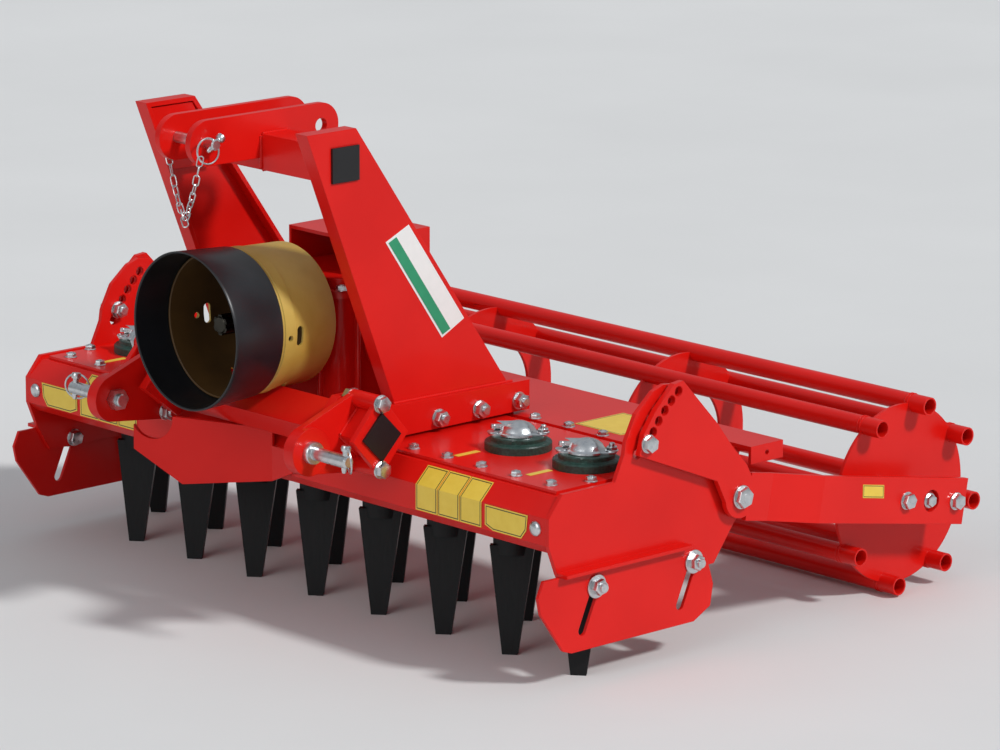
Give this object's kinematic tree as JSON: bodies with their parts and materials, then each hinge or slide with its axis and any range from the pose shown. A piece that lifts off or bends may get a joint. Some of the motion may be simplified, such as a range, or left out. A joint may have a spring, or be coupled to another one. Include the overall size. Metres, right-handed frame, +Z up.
{
  "type": "power harrow",
  "caption": "Tractor-mounted power harrow: gear trough with tined rotors, three-point mast, guarded drive input and a height-adjustable cage roller.",
  "frame": {"origin": "centre of the machine's plan, on the ground that the tine tips stand on", "axes": "+X along the machine to its left as a driver sees it from behind, -Y to the tractor, +Z up"},
  "size_m": [1.421, 1.2403, 0.865],
  "materials": {
    "red_enamel": "gloss enamel",
    "zinc_plating": "bright zinc plating",
    "black_plastic": "moulded, satin",
    "black_tine_paint": "dipped black paint",
    "yellow_plastic": "moulded, satin",
    "green_casting_paint": "painted casting",
    "machined_steel": "machined, oiled"
  },
  "bodies": {
    "frame": {"trough": "red_enamel", "trough_cover": "red_enamel", "rotor_housings": "red_enamel", "bearing_bases": "green_casting_paint", "bearing_caps": "zinc_plating", "end_plate_right": "red_enamel", "end_plate_left": "red_enamel", "side_deflector_right": "red_enamel", "side_deflector_left": "red_enamel", "rear_hood": "red_enamel", "mast_leg_right": "red_enamel", "mast_leg_left": "red_enamel", "foot_angles": "red_enamel", "mast_crossbar": "red_enamel", "front_tube": "red_enamel", "tube_plugs": "black_plastic", "top_link_plate_right": "red_enamel", "top_link_plate_left": "red_enamel", "top_link_pin": "zinc_plating", "lower_bracket_right": "red_enamel", "lower_bracket_left": "red_enamel", "lower_pin_right": "zinc_plating", "lower_pin_left": "zinc_plating", "front_brace": "red_enamel", "gearbox": "red_enamel", "gearbox_hood": "red_enamel", "pto_shield_rear": "yellow_plastic", "pto_shield_back": "yellow_plastic", "pto_shield_front": "black_plastic", "arm_pivots": "zinc_plating"},
    "input": {"pto_shaft": "machined_steel"},
    "roller_arms": {"roller_arm_right": "red_enamel", "roller_arm_left": "red_enamel", "roller_bearings": "red_enamel"},
    "roller": {"roller": "red_enamel"},
    "rotor_1": {"rotor_1": "black_tine_paint"},
    "rotor_2": {"rotor_2": "black_tine_paint"},
    "rotor_3": {"rotor_3": "black_tine_paint"},
    "rotor_4": {"rotor_4": "black_tine_paint"},
    "rotor_5": {"rotor_5": "black_tine_paint"},
    "rotor_6": {"rotor_6": "black_tine_paint"},
    "rotor_7": {"rotor_7": "black_tine_paint"},
    "rotor_8": {"rotor_8": "black_tine_paint"}
  },
  "joints": [
    {"name": "input_shaft_spin", "type": "hinge", "parent": "frame", "child": "input", "pos_m": [0, -0.47515, 0.508], "axis": [0, 1, 0], "continuous": true},
    {"name": "rotor_1_spin", "type": "hinge", "parent": "frame", "child": "rotor_1", "pos_m": [-0.567, -0.22515, 0.18], "axis": [0, 0, 1], "continuous": true},
    {"name": "rotor_2_spin", "type": "hinge", "parent": "frame", "child": "rotor_2", "pos_m": [-0.405, -0.22515, 0.18], "axis": [0, 0, 1], "continuous": true},
    {"name": "rotor_3_spin", "type": "hinge", "parent": "frame", "child": "rotor_3", "pos_m": [-0.243, -0.22515, 0.18], "axis": [0, 0, 1], "continuous": true},
    {"name": "rotor_4_spin", "type": "hinge", "parent": "frame", "child": "rotor_4", "pos_m": [-0.081, -0.22515, 0.18], "axis": [0, 0, 1], "continuous": true},
    {"name": "rotor_5_spin", "type": "hinge", "parent": "frame", "child": "rotor_5", "pos_m": [0.081, -0.22515, 0.18], "axis": [0, 0, 1], "continuous": true},
    {"name": "rotor_6_spin", "type": "hinge", "parent": "frame", "child": "rotor_6", "pos_m": [0.243, -0.22515, 0.18], "axis": [0, 0, 1], "continuous": true},
    {"name": "rotor_7_spin", "type": "hinge", "parent": "frame", "child": "rotor_7", "pos_m": [0.405, -0.22515, 0.18], "axis": [0, 0, 1], "continuous": true},
    {"name": "rotor_8_spin", "type": "hinge", "parent": "frame", "child": "rotor_8", "pos_m": [0.567, -0.22515, 0.18], "axis": [0, 0, 1], "continuous": true},
    {"name": "roller_arm_adjust", "type": "hinge", "parent": "frame", "child": "roller_arms", "pos_m": [0, 0.00885, 0.253], "axis": [1, 0, 0], "range_deg": [0, 23.5]},
    {"name": "roller_spin", "type": "hinge", "parent": "roller_arms", "child": "roller", "pos_m": [0, 0.45185, 0.1723], "axis": [1, 0, 0], "continuous": true}
  ],
  "couplings": [
    {"joint": "rotor_1_spin", "follows": "input_shaft_spin", "ratio": 0.5},
    {"joint": "rotor_2_spin", "follows": "input_shaft_spin", "ratio": -0.5},
    {"joint": "rotor_3_spin", "follows": "input_shaft_spin", "ratio": 0.5},
    {"joint": "rotor_4_spin", "follows": "input_shaft_spin", "ratio": -0.5},
    {"joint": "rotor_5_spin", "follows": "input_shaft_spin", "ratio": 0.5},
    {"joint": "rotor_6_spin", "follows": "input_shaft_spin", "ratio": -0.5},
    {"joint": "rotor_7_spin", "follows": "input_shaft_spin", "ratio": 0.5},
    {"joint": "rotor_8_spin", "follows": "input_shaft_spin", "ratio": -0.5}
  ]
}
